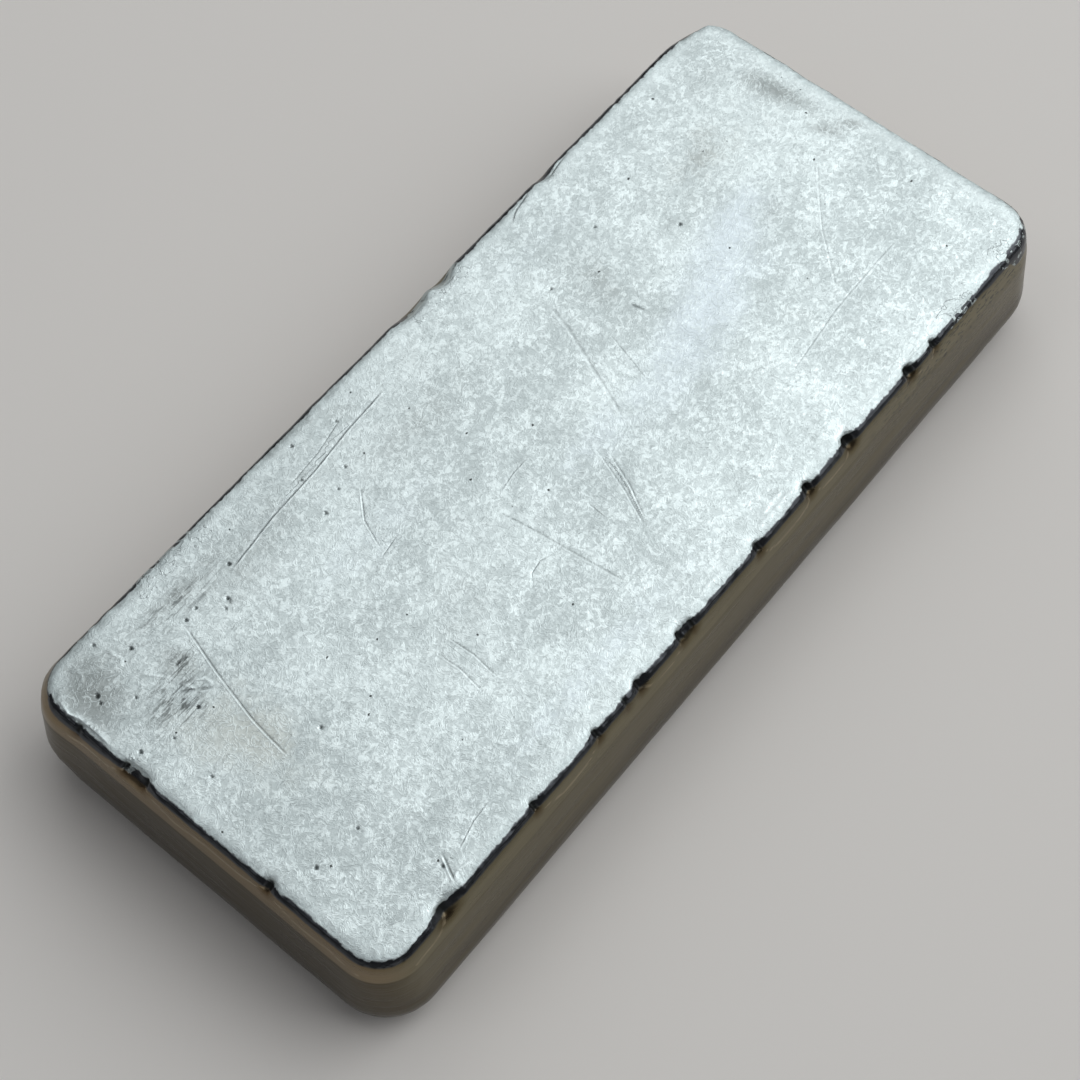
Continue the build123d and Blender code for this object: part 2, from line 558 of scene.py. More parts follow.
def edit_faces(bar, chosen):
    """Enters edit mode with only the chosen faces selected."""
    make_active(bar)
    mesh = bar.data
    mesh.vertices.foreach_set("select", np.zeros(len(mesh.vertices), bool))
    mesh.edges.foreach_set("select", np.zeros(len(mesh.edges), bool))
    mesh.polygons.foreach_set("select", chosen)
    bpy.context.tool_settings.mesh_select_mode = (False, False, True)
    bpy.ops.object.mode_set(mode="EDIT")


def finish_with(bar, kind, **settings):
    """Adds a modifier with these settings and applies it."""
    modifier = bar.modifiers.new(kind.title(), kind)
    for name, value in settings.items():
        setattr(modifier, name, value)
    make_active(bar)
    bpy.ops.object.modifier_apply(modifier=modifier.name)


def press(bar, weights, depth, **settings):
    """Moves the bar's skin outwards by depth times each vertex's weight."""
    group = bar.vertex_groups.new(name="press")
    faintest = 0.002
    for vertex in np.flatnonzero(weights > faintest):
        group.add([int(vertex)], float(weights[vertex]), "REPLACE")
    finish_with(bar, "DISPLACE", vertex_group=group.name, strength=depth, **settings)
    bar.vertex_groups.clear()


def cloud(name, size, contrast=1.0):
    """A soft random pattern whose lumps are about this large."""
    pattern = bpy.data.textures.new(name, "CLOUDS")
    pattern.noise_scale = size
    pattern.noise_depth = 2
    pattern.contrast = contrast
    return pattern


def store(bar, name, values):
    """Keeps one value or three for each vertex, for the material to read."""
    kind, field = ("FLOAT", "value") if values.ndim == 1 else ("FLOAT_VECTOR", "vector")
    attribute = bar.data.attributes.new(name, kind, "POINT")
    attribute.data.foreach_set(field, values.astype(np.float32).ravel())


def cast_skin(form):
    """The bar's skin: a merged copy of the solid, remade in even faces."""
    bar = bpy.data.objects.new("cast_bar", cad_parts["ingot"].data.copy())
    bpy.context.scene.collection.objects.link(bar)
    make_active(bar)
    bpy.ops.mesh.customdata_custom_splitnormals_clear()
    bpy.ops.object.mode_set(mode="EDIT")
    bpy.ops.mesh.select_all(action="SELECT")
    bpy.ops.mesh.remove_doubles(threshold=0.001 * MM)
    bpy.ops.object.mode_set(mode="OBJECT")
    finish_with(bar, "REMESH", mode="VOXEL", voxel_size=form.voxel)
    finish_with(bar, "SMOOTH", factor=0.5, iterations=2)
    return bar


def thin_underside(bar):
    """Leaves the flat underside fewer faces, which it can spare."""
    lowest_layer = 0.3
    edit_faces(bar, face_middles(bar)[:, 2] < lowest_layer)
    bpy.ops.mesh.decimate(ratio=0.25)
    bpy.ops.object.mode_set(mode="OBJECT")


def refine(bar, chosen):
    """Divides each of the chosen faces in four."""
    edit_faces(bar, chosen)
    bpy.ops.mesh.subdivide(number_cuts=1, smoothness=0.0)
    bpy.ops.object.mode_set(mode="OBJECT")


def near_marks(points):
    """Which points lie on the upper face close to a scratch, a ridge or a pit."""
    close = np.zeros(len(points), bool)
    for mark in SCRATCHES + RIDGES:
        across, _, _ = across_path(points, mark.path)
        close |= np.abs(across) < mark.width + MARK_MARGIN
    for x, y, radius in PITS:
        close |= np.hypot(points[:, 0] - x, points[:, 1] - y) < radius + MARK_MARGIN
    return close & on_upper_face(points, layer=0.2)


def swell_skin(bar, form):
    """Gives the cast surface its broad unevenness, and the underside a slight one upwards."""
    points = places(bar)
    above = smooth_step(0.0, 2.0, points[:, 2])
    press(bar, above, form.swell, texture=cloud("swell", 18.0 * MM), mid_level=0.5)
    press(bar, 1.0 - above, -form.swell, texture=cloud("sink", 9.0 * MM), mid_level=0.0)
    press(bar, 1.0 - above, -form.underside_lift, mid_level=0.0)
    walls = above * (1.0 - smooth_step(-2.0, -1.0, rim_places(points)))
    press(bar, walls, 0.5 * form.swell, texture=cloud("ripples", 5.0 * MM), mid_level=0.5)
    face = smooth_step(1.0, 3.0, rim_places(points))
    press(bar, face, 0.6 * form.swell, texture=cloud("lumps", 2.2 * MM), mid_level=0.5)


def fill_corner(bar, form):
    """Fills out the wall of the near corner on the left, which bulges in the photograph."""
    points = places(bar)
    from_corner = np.hypot(points[:, 0] + FACE_LENGTH / 2, points[:, 1] - FACE_WIDTH / 2)
    bulge = 1.0 - smooth_step(2.0, 9.0, from_corner)
    bulge *= smooth_step(3.0, 7.0, points[:, 2])
    bulge *= 1.0 - smooth_step(-3.0, -1.0, rim_places(points))
    press(bar, bulge, form.corner_fill, mid_level=0.0)


def roughen_rim(bar, form):
    """Makes the rim wander in and out, in long bays, short bites and fine burrs."""
    rim = rim_places(places(bar))
    near_rim = np.exp(-((rim / 1.2) ** 2))
    press(bar, near_rim, 1.3 * form.rag, texture=cloud("bays", 4.0 * MM, 1.6), mid_level=0.55)
    press(bar, near_rim, 0.6 * form.rag, texture=cloud("bites", 1.6 * MM, 2.0), mid_level=0.6)
    lip = np.exp(-(((rim - 0.7) / 0.5) ** 2))
    press(bar, lip, 0.2 * form.rag, texture=cloud("burrs", 0.8 * MM, 2.0), mid_level=0.4)


def chip_rim(bar):
    """Bites the chips out of the rim, and stores where painted shade darkens their insides and the
    wall below them.
    """
    points = places(bar)
    rim = rim_places(points)
    bites = np.zeros(len(points))
    chip_shade = np.zeros(len(points))
    for chip in CHIPS:
        along, on_side = side_places(points, chip.side)
        apart = np.abs(along - chip.place) / (chip.length / 2)
        bites = np.maximum(bites, on_side * chip.depth * np.clip(1.0 - apart, 0.0, 1.0))
        chip_shade = np.maximum(chip_shade, on_side * np.exp(-((apart / 1.5) ** 2)))
    press(bar, bites * plateau(rim, -3.6, -0.6, 0.4, 1.1), -MM, mid_level=0.0)
    store(bar, "chip", smooth_step(0.05, 0.25, bites) * plateau(rim, -1.2, -0.6, 0.5, 0.9))
    store(bar, "chip_shade", chip_shade * plateau(rim, -3.6, -1.6, -1.3, -0.8))


def mark_sides(bar):
    """Stores each vertex's distance from a lap line, how torn the rim is and how wide its painted
    dark reflection is.
    """
    points = places(bar)
    laps = np.full(len(points), FAR_OFF)
    for side, path in LAPS:
        along, on_side = side_places(points, side)
        across, _, _ = across_path(np.stack([along, HEIGHT - points[:, 2]], axis=1), path)
        laps = np.where(on_side, np.minimum(laps, np.abs(across)), laps)
    torn = np.zeros(len(points))
    for side, start, end, share in BURRS:
        along, on_side = side_places(points, side)
        torn = np.maximum(torn, share * on_side * in_stretch(along, start, end))
    reach = np.zeros((len(points), 2))
    for side, start, end, up, down in DARK_REFLECTION_REACH:
        along, on_side = side_places(points, side)
        reach += (on_side * in_stretch(along, start, end))[:, None] * (up, down)
    store(bar, "lap", laps)
    store(bar, "torn", torn)
    store(bar, "dark_reflection_up", reach[:, 0])
    store(bar, "dark_reflection_down", reach[:, 1])


def scratch_face(bar, form):
    """Sinks the scratches into the upper face and stores how each vertex lies to the nearest."""
    points = places(bar)
    top = on_upper_face(points)
    nearest = np.full(len(points), FAR_OFF)
    widths_off = np.full(len(points), FAR_OFF)
    strength = np.zeros(len(points))
    lips = np.zeros(len(points))
    groove = np.zeros(len(points))
    for scratch in SCRATCHES:
        across, along, length = across_path(points, scratch.path)
        ends = smooth_step(0.0, min(2.0, length / 3), np.minimum(along, length - along))
        scaled = across / scratch.width
        gap = np.abs(across)
        nearer = (gap < nearest) & top
        nearest[nearer] = gap[nearer]
        widths_off[nearer] = scaled[nearer]
        strength[nearer] = (scratch.depth * ends * (1.0 - smooth_step(0.5, 0.9, gap)))[nearer]
        lips[nearer] = scratch.lip
        groove += np.where(top, scratch.depth * ends * np.exp(-(scaled**2)), 0.0)
    press(bar, np.clip(groove, 0.0, 1.0), -form.scratch_depth, direction="Z", mid_level=0.0)
    widths_off = np.clip(widths_off, -FAR_OFF, FAR_OFF)
    store(bar, "scratch", np.stack([widths_off, strength, lips], axis=1))


def pit_face(bar, form):
    """Opens the pits, raises the ridges and stores both."""
    points = places(bar)
    top = on_upper_face(points)
    holes = np.zeros(len(points))
    for x, y, radius in PITS:
        gap = np.hypot(points[:, 0] - x, points[:, 1] - y)
        holes = np.maximum(holes, top * (1.0 - smooth_step(0.3 * radius, radius, gap)))
    press(bar, holes, -form.pit_depth, direction="Z", mid_level=0.0)
    store(bar, "pit", holes)
    folds = np.zeros(len(points))
    for ridge in RIDGES:
        across, along, length = across_path(points, ridge.path)
        ends = smooth_step(0.0, length / 4, np.minimum(along, length - along))
        fold = ridge.height * ends * np.exp(-((across / ridge.width) ** 2))
        folds = np.maximum(folds, top * fold)
    press(bar, folds, MM, direction="Z", mid_level=0.0)
    store(bar, "ridge", folds)


def patch_face(bar):
    """Stores how strongly each vertex lies in each kind of patch of the upper face."""
    points = places(bar)
    kinds = {
        "rubbed": RUBBED_PATCHES,
        "grey_and_shade": GREY_FILM_AND_SHADE_PATCHES,
        "buff": BUFF_PATCHES,
        "streak": STREAK_PATCHES,
    }
    for name, patches in kinds.items():
        clear = np.ones(len(points))
        for patch in patches:
            turn = math.radians(patch.turn)
            x, y = points[:, 0] - patch.x, points[:, 1] - patch.y
            along = (x * math.cos(turn) + y * math.sin(turn)) / (patch.length / 2)
            across = (y * math.cos(turn) - x * math.sin(turn)) / (patch.width / 2)
            clear *= 1.0 - patch.strength * np.exp(-(along**2 + across**2))
        store(bar, name, (1.0 - clear) * on_upper_face(points))


# Kinds of node, and settings that many share. Numbered inputs are in Blender's order: a range has
# its value, its low and high and what these become, and a mix has its share and its two sides.
# A noise's scale is one over the size of its lumps in millimetres.
MATH, MIX, RANGE = "ShaderNodeMath", "ShaderNodeMix", "ShaderNodeMapRange"
NOISE, VECTOR, SPLIT = "ShaderNodeTexNoise", "ShaderNodeVectorMath", "ShaderNodeSeparateXYZ"
STORED = "ShaderNodeAttribute"
COLOUR = {"data_type": "RGBA"}
EASED = {"interpolation_type": "SMOOTHSTEP"}

# What the bar's mesh keeps for each vertex as one number, besides the three of "scratch"
MARKS = (
    "rim", "chip", "chip_shade", "lap", "torn", "dark_reflection_up", "dark_reflection_down", "pit", "ridge",
    "rubbed", "grey_and_shade", "buff", "streak",
)


def add(tree, kind, inputs=(), output=None, **settings):
    """Adds a node with its settings, sets or links its inputs, and gives a named or first output."""
    node = tree.nodes.new(kind)
    for name, value in settings.items():
        setattr(node, name, value)
    sockets = [socket for socket in node.inputs if socket.enabled]
    for key, source in dict(inputs).items():
        socket = sockets[key] if isinstance(key, int) else next(s for s in sockets if s.name == key)
        if isinstance(source, bpy.types.NodeSocket):
            tree.links.new(source, socket)
        else:
            socket.default_value = source
    if output:
        return node.outputs[output]
    return next((socket for socket in node.outputs if socket.enabled), None)


def face_tone(tree, place, marks, worms, finish):
    """Upper face: grey clouds, bright rubs and blots, a plainer border, films, partly painted shade
    over the left half, and dark streaks.
    """
    clouds = add(tree, NOISE, {"Vector": place, "Scale": 1 / 15, "Detail": 3.0, "Roughness": 0.55})
    mottle = add(tree, NOISE, {"Vector": place, "Scale": 1 / 3.5, "Detail": 5.0, "Roughness": 0.7})
    blots = add(tree, NOISE, {"Vector": place, "Scale": 1 / 0.8, "Detail": 2.0, "Distortion": 0.8})
    grain = add(tree, NOISE, {"Vector": place, "Scale": 1 / 0.5, "Detail": 2.0, "Distortion": 0.8})
    broad = add(tree, RANGE, {0: clouds, 1: 0.35, 2: 0.65, 3: 0.16, 4: 0.50}, **EASED)
    share = add(tree, RANGE, {0: mottle, 1: 0.35, 2: 0.65, 3: -0.14, 4: 0.14})
    share = add(tree, MATH, {0: share, 1: broad}, operation="ADD")
    busy = add(tree, RANGE, {0: mottle, 1: 0.38, 2: 0.60, 3: 0.34, 4: 0.70}, **EASED)
    rubs = add(tree, RANGE, {0: worms, 1: 0.01, 2: 0.055, 3: 0.5, 4: 0.0}, **EASED)
    blots = add(tree, RANGE, {0: blots, 1: 0.50, 2: 0.57, 3: 0.0, 4: 1.0}, **EASED)
    rubs = add(tree, MATH, {0: rubs, 1: blots}, operation="MAXIMUM")
    share = add(tree, MATH, {0: rubs, 1: busy, 2: share}, operation="MULTIPLY_ADD")
    flecks = add(tree, RANGE, {0: grain, 1: 0.54, 2: 0.66, 3: 0.0, 4: -0.40}, **EASED)
    share = add(tree, MATH, {0: share, 1: flecks}, operation="ADD", use_clamp=True)
    border = add(tree, RANGE, {0: marks["rim"], 1: 3.4, 2: 1.4, 3: 0.0, 4: 0.5}, **EASED)
    share = add(tree, MIX, {0: border, 1: share, 2: 0.62})
    tone = add(tree, MIX, {0: share, 1: (*finish.dull, 1), 2: (*finish.bright, 1)}, **COLOUR)

    # The films break up at their edges, and the streaks run along the bar
    breaks = add(tree, RANGE, {0: mottle, 1: 0.3, 2: 0.7, 3: -0.32, 4: 0.32})
    veins = add(tree, RANGE, {0: worms, 1: 0.01, 2: 0.05, 3: 0.45, 4: 1.0}, **EASED)
    for name, colour in (("rubbed", finish.rubbed), ("grey_and_shade", finish.stain_and_shade), ("buff", finish.buff)):
        film = add(tree, MATH, {0: marks[name], 1: breaks}, operation="ADD")
        film = add(tree, RANGE, {0: film, 1: 0.10, 2: 0.75, 3: 0.0, 4: 0.9}, **EASED)
        film = add(tree, MATH, {0: film, 1: marks[name]}, operation="MULTIPLY")
        film = add(tree, MATH, {0: film, 1: veins}, operation="MULTIPLY")
        tone = add(tree, MIX, {0: film, 1: tone, 2: (*colour, 1)}, **COLOUR)
    streaks = add(tree, VECTOR, {0: place, 1: (0.5, 3.2, 1.0)}, operation="MULTIPLY")
    streaks = add(tree, NOISE, {"Vector": streaks, "Scale": 1.0, "Detail": 3.0, "Distortion": 0.6})
    streaks = add(tree, RANGE, {0: streaks, 1: 0.50, 2: 0.62, 3: 0.0, 4: 0.75}, **EASED)
    streaks = add(tree, MATH, {0: streaks, 1: marks["streak"]}, operation="MULTIPLY")
    return add(tree, MIX, {0: streaks, 1: tone, 2: (*finish.pit, 1)}, **COLOUR)


def wall_tone(tree, place, marks, laps, finish):
    """Walls, their colour a painted reflection of brown surroundings and shade: a light shoulder
    down to the crease, olive below it, darker just under the rim, browner at the foot and on the
    near end, lap lines, a brown painted shade under each chip, and dark specks on the right wall
    near the far end."""
    rim = marks["rim"]
    along, across, level = add(tree, SPLIT, {0: place}).node.outputs
    # Painted reflection of brown surroundings: light on the shoulder above the crease, olive below
    # it
    below_crease = add(tree, RANGE, {0: rim, 1: -4.7, 2: -5.15}, **EASED)
    # Painted shade: on the near end the wall is darker, as the floor it mirrors lies in the bar's
    # shadow
    near_end = add(tree, RANGE, {0: along, 1: -59.0, 2: -65.0}, **EASED)
    shoulder_reflections = {0: near_end, 1: (*finish.shoulder_reflection, 1), 2: (*finish.end_shoulder_reflection, 1)}
    walls = {0: near_end, 1: (*finish.wall, 1), 2: (*finish.end_wall_shade, 1)}
    shoulder_reflection = add(tree, MIX, shoulder_reflections, **COLOUR)
    wall = add(tree, MIX, walls, **COLOUR)
    tone = add(tree, MIX, {0: below_crease, 1: shoulder_reflection, 2: wall}, **COLOUR)
    # Painted shade: browner towards the foot, with an uneven upper edge
    uneven = add(tree, RANGE, {0: laps, 1: 0.3, 2: 0.7, 3: -2.0, 4: 2.0})
    down = add(tree, MATH, {0: rim, 1: uneven}, operation="ADD")
    at_foot_shade = add(tree, RANGE, {0: down, 1: -9.0, 2: -16.0}, **EASED)
    tone = add(tree, MIX, {0: at_foot_shade, 1: tone, 2: (*finish.foot_shade, 1)}, **COLOUR)
    lap_tone = add(tree, RANGE, {0: laps, 1: 0.3, 2: 0.7, 3: 0.88, 4: 1.12})
    tone = add(tree, VECTOR, {0: tone, "Scale": lap_tone}, operation="SCALE")
    # Painted shade: darker just under the rim, where the wall begins to mirror the dark room
    dark_reflection_below_rim = add(tree, RANGE, {0: rim, 1: -1.0, 2: -2.8, 3: 0.84, 4: 1.0}, **EASED)
    tone = add(tree, VECTOR, {0: tone, "Scale": dark_reflection_below_rim}, operation="SCALE")
    # Painted shade: brown on the wall below each chip
    chip_shade = add(tree, MATH, {0: marks["chip_shade"], 1: 0.75}, operation="MULTIPLY")
    tone = add(tree, MIX, {0: chip_shade, 1: tone, 2: (*finish.chip_shade, 1)}, **COLOUR)
    line = add(tree, RANGE, {0: marks["lap"], 1: 0.12, 2: 0.30, 3: 0.6, 4: 0.0}, **EASED)
    tone = add(tree, MIX, {0: line, 1: tone, 2: (*finish.lap, 1)}, **COLOUR)
    specks = add(tree, VECTOR, {0: place, 1: (0.6, 1.0, 1.8)}, operation="MULTIPLY")
    specks = add(tree, NOISE, {"Vector": specks, "Scale": 1 / 0.55, "Detail": 2.0})
    specks = add(tree, RANGE, {0: specks, 1: 0.57, 2: 0.61, 3: 0.0, 4: 0.8}, **EASED)
    for source, start, full in ((along, 15.0, 48.0), (across, -20.0, -27.0), (rim, -11.0, -4.0)):
        here = add(tree, RANGE, {0: source, 1: start, 2: full}, **EASED)
        specks = add(tree, MATH, {0: specks, 1: here}, operation="MULTIPLY")
    tone = add(tree, MIX, {0: specks, 1: tone, 2: (*finish.pit, 1)}, **COLOUR)

    # The underside, which lay open to the air, is dull and even
    under = add(tree, RANGE, {0: level, 1: 0.9, 2: 0.2}, **EASED)
    return add(tree, MIX, {0: under, 1: tone, 2: (*finish.dull, 1)}, **COLOUR)


def scratch_marks(tree):
    """How deep in a scratch's groove each spot is, and how high on its thrown-up lip."""
    scratch = add(tree, STORED, output="Vector", attribute_name="scratch")
    across, strength, lip_side = add(tree, SPLIT, {0: scratch}).node.outputs
    beside = add(tree, MATH, {0: lip_side, 1: -1.9, 2: across}, operation="MULTIPLY_ADD")
    thrown = add(tree, MATH, {0: lip_side}, operation="ABSOLUTE")
    bells = []
    for distance, sharpness, share in ((across, -1.0, 1.0), (beside, -0.9, thrown)):
        bell = add(tree, MATH, {0: distance, 1: 2.0}, operation="POWER")
        bell = add(tree, MATH, {0: bell, 1: sharpness}, operation="MULTIPLY")
        bell = add(tree, MATH, {0: bell}, operation="EXPONENT")
        bell = add(tree, MATH, {0: bell, 1: strength}, operation="MULTIPLY")
        bells.append(add(tree, MATH, {0: bell, 1: share}, operation="MULTIPLY"))
    return bells


def small_pits(tree, place):
    """Scattered pin holes of the upper face, besides the open pits that are modelled: where they are
    painted dark as shade and pressed in by the bump.
    """
    wander = add(tree, NOISE, {"Vector": place, "Scale": 1 / 0.5}, output="Color")
    bent = add(tree, VECTOR, {0: wander, 1: (0.35, 0.35, 0.35), 2: place}, operation="MULTIPLY_ADD")
    cells = add(tree, "ShaderNodeTexVoronoi", {"Vector": bent, "Scale": 1 / 2.6}).node.outputs
    hole = add(tree, RANGE, {0: cells["Distance"], 1: 0.075, 2: 0.035}, **EASED)
    chance = add(tree, SPLIT, {0: cells["Color"]})
    chance = add(tree, MATH, {0: chance, 1: 0.62}, operation="GREATER_THAN")
    return add(tree, MATH, {0: hole, 1: chance}, operation="MULTIPLY")


def dark_reflection_edges(tree, place, marks):
    """Where the face and the wall take over from the rim's dark band, a painted reflection of the
    dark room, which is ragged towards the face and cleaner towards the wall, and the bright slivers
    that break through it."""
    wander = add(tree, NOISE, {"Vector": place, "Scale": 1 / 1.1, "Detail": 2.0, "Distortion": 0.5})
    wander = add(tree, RANGE, {0: wander, 1: 0.3, 2: 0.7, 3: -0.20, 4: 0.20})
    bays = add(tree, NOISE, {"Vector": place, "Scale": 1 / 5, "Detail": 1.0})
    bays = add(tree, RANGE, {0: bays, 1: 0.35, 2: 0.65, 3: -0.12, 4: 0.12})
    upper = add(tree, MATH, {0: marks["rim"], 1: wander}, operation="ADD")
    upper = add(tree, MATH, {0: upper, 1: bays}, operation="ADD")
    upper = add(tree, MATH, {0: upper, 1: marks["dark_reflection_up"]}, operation="SUBTRACT")
    on_face = add(tree, RANGE, {0: upper, 1: 0.30, 2: 0.60}, **EASED)
    lower = add(tree, MATH, {0: wander, 1: 0.3, 2: marks["rim"]}, operation="MULTIPLY_ADD")
    lower = add(tree, MATH, {0: lower, 1: marks["dark_reflection_down"]}, operation="ADD")
    on_wall = add(tree, RANGE, {0: lower, 1: -0.70, 2: -1.25}, **EASED)
    slivers = add(tree, MATH, {0: marks["torn"], 1: 0.4, 2: wander}, operation="MULTIPLY_ADD")
    slivers = add(tree, RANGE, {0: slivers, 1: 0.20, 2: 0.26, 3: 0.0, 4: 0.85}, **EASED)
    on_edge = add(tree, RANGE, {0: lower, 1: -1.3, 2: -0.8}, **EASED)
    slivers = add(tree, MATH, {0: slivers, 1: on_edge}, operation="MULTIPLY")
    return on_face, on_wall, slivers


def cast_tin(finish):
    """Tin cast in an open mould and turned out upside down: scuffed bright on its upper face, glossy
    on its drafted walls, whose brown-olive colour is a painted reflection of brown surroundings and
    shade, and painted near black along the rim as a reflection of the dark room."""
    material = bpy.data.materials.new("cast_tin")
    material.use_nodes = True
    tree = material.node_tree
    tree.nodes.clear()

    # Places in millimetres, the mesh's own marks, and the patterns that several parts use
    place = add(tree, "ShaderNodeTexCoord", output="Object")
    place = add(tree, VECTOR, {0: place, "Scale": 1 / MM}, operation="SCALE")
    marks = {name: add(tree, STORED, output="Fac", attribute_name=name) for name in MARKS}
    worms = add(tree, NOISE, {"Vector": place, "Scale": 1 / 1.9, "Detail": 3.0, "Distortion": 2.4})
    worms = add(tree, MATH, {0: worms, 1: -0.5}, operation="ADD")
    worms = add(tree, MATH, {0: worms}, operation="ABSOLUTE")
    flat_laps = add(tree, VECTOR, {0: place, 1: (0.09, 0.09, 0.8)}, operation="MULTIPLY")
    laps = add(tree, NOISE, {"Vector": flat_laps, "Scale": 1.0, "Detail": 4.0, "Roughness": 0.6})
    grain = add(tree, NOISE, {"Vector": place, "Scale": 1 / 0.5, "Detail": 3.0, "Roughness": 0.6})

    # The tones of the face and the wall, with the rim's painted dark reflection between them
    face = face_tone(tree, place, marks, worms, finish)
    wall = wall_tone(tree, place, marks, laps, finish)
    on_face, on_wall, slivers = dark_reflection_edges(tree, place, marks)
    # Painted reflection: the rim's band is near black where it mirrors the dark room, broken by
    # slivers
    film = add(tree, MIX, {0: slivers, 1: (*finish.edge, 1), 2: (*finish.dull, 1)}, **COLOUR)
    tone = add(tree, MIX, {0: on_wall, 1: film, 2: wall}, **COLOUR)
    tone = add(tree, MIX, {0: on_face, 1: tone, 2: face}, **COLOUR)

    # Scratches with pale lips and pale ridges, both painted highlight, and painted shade darkening
    # the grooves, pits and chips
    groove, lip = scratch_marks(tree)
    # Painted highlight: the lip on the bank that faces the light, and the raised ridges, turn pale
    ridge = add(tree, MATH, {0: marks["ridge"], 1: 8.0}, operation="MULTIPLY", use_clamp=True)
    pale = add(tree, MATH, {0: lip, 1: 1.2, 2: ridge}, operation="MULTIPLY_ADD", use_clamp=True)
    tone = add(tree, MIX, {0: pale, 1: tone, 2: (*finish.bright, 1)}, **COLOUR)
    # Painted shade: pin holes, pits and chips darken towards near black, and scratch grooves partly
    holes = add(tree, MATH, {0: small_pits(tree, place), 1: on_face}, operation="MULTIPLY")
    for name in ("pit", "chip"):
        holes = add(tree, MATH, {0: holes, 1: marks[name]}, operation="MAXIMUM")
    recess_shade = add(tree, MATH, {0: groove, 1: 0.55, 2: holes}, operation="MULTIPLY_ADD", use_clamp=True)
    recess_shade = add(tree, MATH, {0: recess_shade, 1: 0.85}, operation="MULTIPLY")
    tone = add(tree, MIX, {0: recess_shade, 1: tone, 2: (*finish.pit, 1)}, **COLOUR)

    # Gloss: the face is scuffed, the walls and the rim's band kept the polish of the mould
    scuffed = add(tree, RANGE, {0: grain, 1: 0.3, 2: 0.7, 3: 0.50, 4: 0.34})
    polished = add(tree, RANGE, {0: laps, 1: 0.3, 2: 0.7, 3: 0.24, 4: 0.36})
    at_border = add(tree, RANGE, {0: marks["rim"], 1: 1.8, 2: 0.7, 3: 0.0, 4: 0.16}, **EASED)
    scuffed = add(tree, MATH, {0: scuffed, 1: at_border}, operation="ADD")
    gloss = add(tree, MIX, {0: on_face, 1: polished, 2: scuffed})
    gloss = add(tree, MIX, {0: recess_shade, 1: gloss, 2: 0.7})

    # Relief in millimetres
    face_relief = add(tree, RANGE, {0: worms, 1: 0.0, 2: 0.07, 3: 0.012, 4: 0.0}, **EASED)
    face_relief = add(tree, MATH, {0: grain, 1: 0.035, 2: face_relief}, operation="MULTIPLY_ADD")
    wall_relief = add(tree, MATH, {0: laps, 1: 0.05}, operation="MULTIPLY")
    relief = add(tree, MIX, {0: on_face, 1: wall_relief, 2: face_relief})
    for mark, height in ((groove, -0.04), (lip, 0.05), (recess_shade, -0.05), (slivers, 0.06)):
        relief = add(tree, MATH, {0: mark, 1: height, 2: relief}, operation="MULTIPLY_ADD")
    bump = add(tree, "ShaderNodeBump", {"Strength": 1.0, "Distance": MM, "Height": relief})

    surface = {"Base Color": tone, "Metallic": 1.0, "Roughness": gloss, "Normal": bump}
    surface = add(tree, "ShaderNodeBsdfPrincipled", surface)
    add(tree, "ShaderNodeOutputMaterial", {"Surface": surface})
    return material


class INGOT_OT_cast_bar(Operator):
    """Make the bar's skin with its ragged rim, chips, scratches and pits, and give it its finish"""

    bl_idname = "ingot.cast_bar"
    bl_label = "Cast the Bar"

    def execute(self, context):
        form = context.scene.ingot_form
        bar = cast_skin(form)
        thin_underside(bar)
        band_middle = 0.1
        for _ in range(2):
            refine(bar, np.abs(rim_places(face_middles(bar)) - band_middle) < form.rim_band / MM)
        for _ in range(2):
            refine(bar, near_marks(face_middles(bar)))
        swell_skin(bar, form)
        fill_corner(bar, form)
        store(bar, "rim", rim_places(places(bar)))
        roughen_rim(bar, form)
        chip_rim(bar)
        mark_sides(bar)
        scratch_face(bar, form)
        pit_face(bar, form)
        patch_face(bar)
        make_active(bar)
        bpy.ops.object.shade_smooth()
        bar.data.materials.clear()
        bar.data.materials.append(cast_tin(context.scene.ingot_finish))
        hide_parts("ingot")
        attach(bar, "root")
        return {"FINISHED"}


def pale_floor(stage):
    """The floor's paint: pale, matt and plain."""
    material = bpy.data.materials.new("pale_floor")
    material.use_nodes = True
    shader = material.node_tree.nodes["Principled BSDF"]
    shader.inputs["Base Color"].default_value = (*stage.floor, 1)
    shader.inputs["Roughness"].default_value = 0.8
    return material


def from_angles(elevation, azimuth):
    """Unit vector towards this elevation and azimuth."""
    level = math.cos(elevation)
    return Vector((level * math.cos(azimuth), level * math.sin(azimuth), math.sin(elevation)))


def soft_light(lamp, power):
    """A square soft light that faces the middle of the bar."""
    light = bpy.data.lights.new(lamp.name, "AREA")
    light.shape = "SQUARE"
    light.size = lamp.size
    light.energy = power
    towards = from_angles(math.radians(lamp.elevation), math.radians(lamp.azimuth))
    panel = bpy.data.objects.new(lamp.name, light)
    panel.location = towards * lamp.distance
    panel.rotation_euler = towards.to_track_quat("Z", "Y").to_euler()
    bpy.context.scene.collection.objects.link(panel)


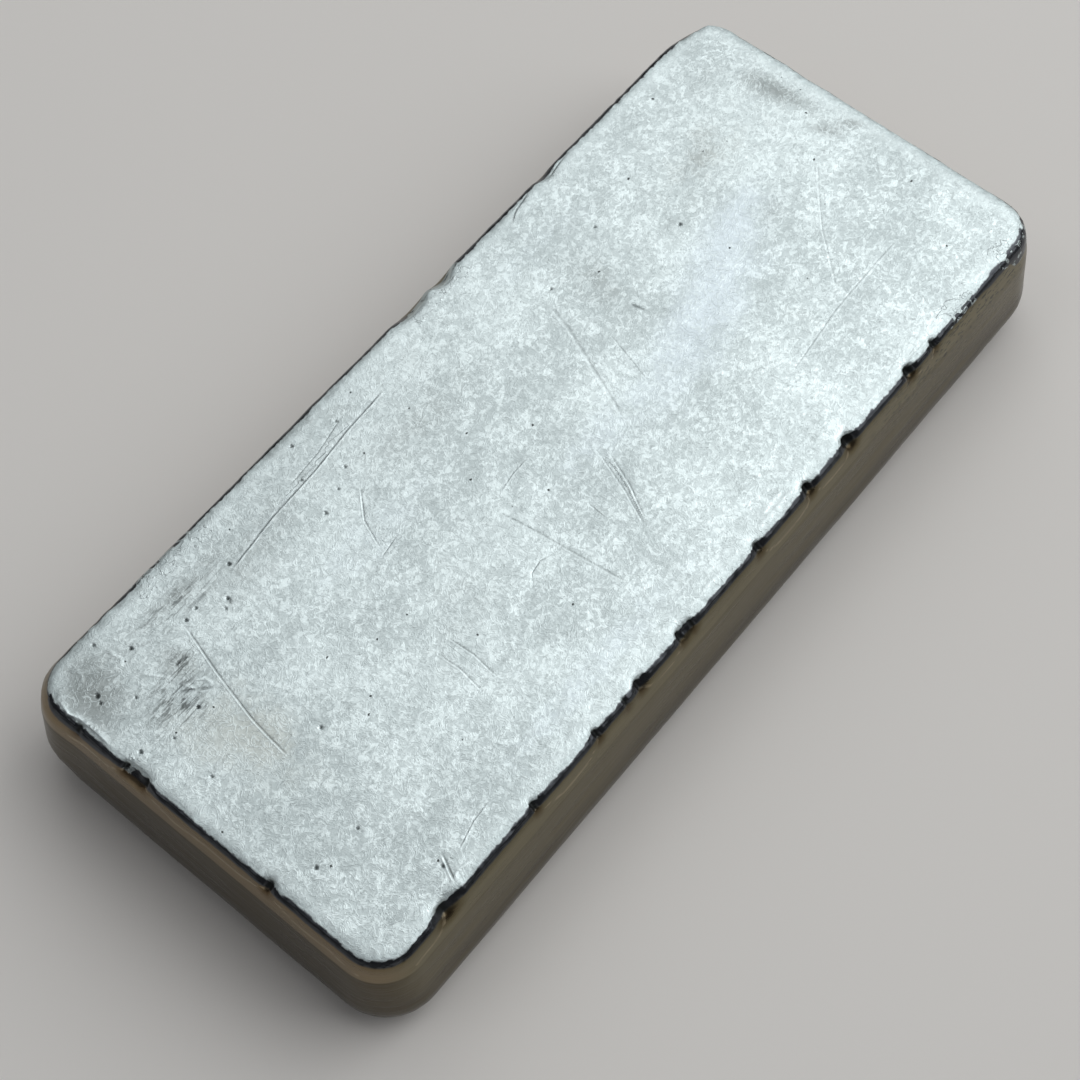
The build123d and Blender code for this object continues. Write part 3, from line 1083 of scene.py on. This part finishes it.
class INGOT_OT_set_stage(Operator):
    """Lay the floor, hang the soft lights and place the camera"""

    bl_idname = "ingot.set_stage"
    bl_label = "Set the Stage"

    def execute(self, context):
        stage = context.scene.ingot_stage
        deselect_all()
        bpy.ops.mesh.primitive_plane_add(size=6.0)
        floor = context.object
        floor.name = "floor"
        floor.data.materials.append(pale_floor(stage))

        powers = (stage.overhead_power, stage.side_power, stage.behind_power)
        for lamp, power in zip(LAMPS, powers):
            soft_light(lamp, power)
        world = bpy.data.worlds.new("studio")
        world.use_nodes = True
        world.node_tree.nodes["Background"].inputs["Color"].default_value = (*stage.room, 1)
        context.scene.world = world

        lens = bpy.data.cameras.new("camera")
        lens.lens = stage.lens
        lens.sensor_width = 36.0
        lens.clip_start = 0.01
        camera = bpy.data.objects.new("camera", lens)
        back = from_angles(stage.elevation, stage.azimuth)
        turned = back.to_track_quat("Z", "Y").to_matrix() @ Matrix.Rotation(-stage.roll, 3, "Z")
        place = Vector(stage.aim) + back * stage.distance
        camera.matrix_world = Matrix.LocRotScale(place, turned.to_quaternion(), None)
        context.scene.collection.objects.link(camera)
        context.scene.camera = camera
        context.scene.view_settings.view_transform = "Standard"
        return {"FINISHED"}


class INGOT_PT_panel(Panel):
    """Lists the ingot's tools"""

    bl_label = "Ingot"
    bl_idname = "INGOT_PT_panel"
    bl_space_type = "VIEW_3D"
    bl_region_type = "UI"
    bl_category = "Ingot"

    def draw(self, context):
        layout = self.layout
        scene = context.scene
        for group in (scene.ingot_form, scene.ingot_finish, scene.ingot_stage):
            for name in group.__annotations__:
                layout.prop(group, name)
        layout.operator(INGOT_OT_cast_bar.bl_idname)
        layout.operator(INGOT_OT_set_stage.bl_idname)


CLASSES = (
    IngotForm,
    IngotFinish,
    IngotStage,
    INGOT_OT_cast_bar,
    INGOT_OT_set_stage,
    INGOT_PT_panel,
)


def register():
    for cls in CLASSES:
        bpy.utils.register_class(cls)
    bpy.types.Scene.ingot_form = PointerProperty(type=IngotForm)
    bpy.types.Scene.ingot_finish = PointerProperty(type=IngotFinish)
    bpy.types.Scene.ingot_stage = PointerProperty(type=IngotStage)


def unregister():
    del bpy.types.Scene.ingot_stage
    del bpy.types.Scene.ingot_finish
    del bpy.types.Scene.ingot_form
    for cls in reversed(CLASSES):
        bpy.utils.unregister_class(cls)


def main():
    register()
    bpy.ops.ingot.set_stage()
    bpy.ops.ingot.cast_bar()


if __name__ == "__main__":
    main()
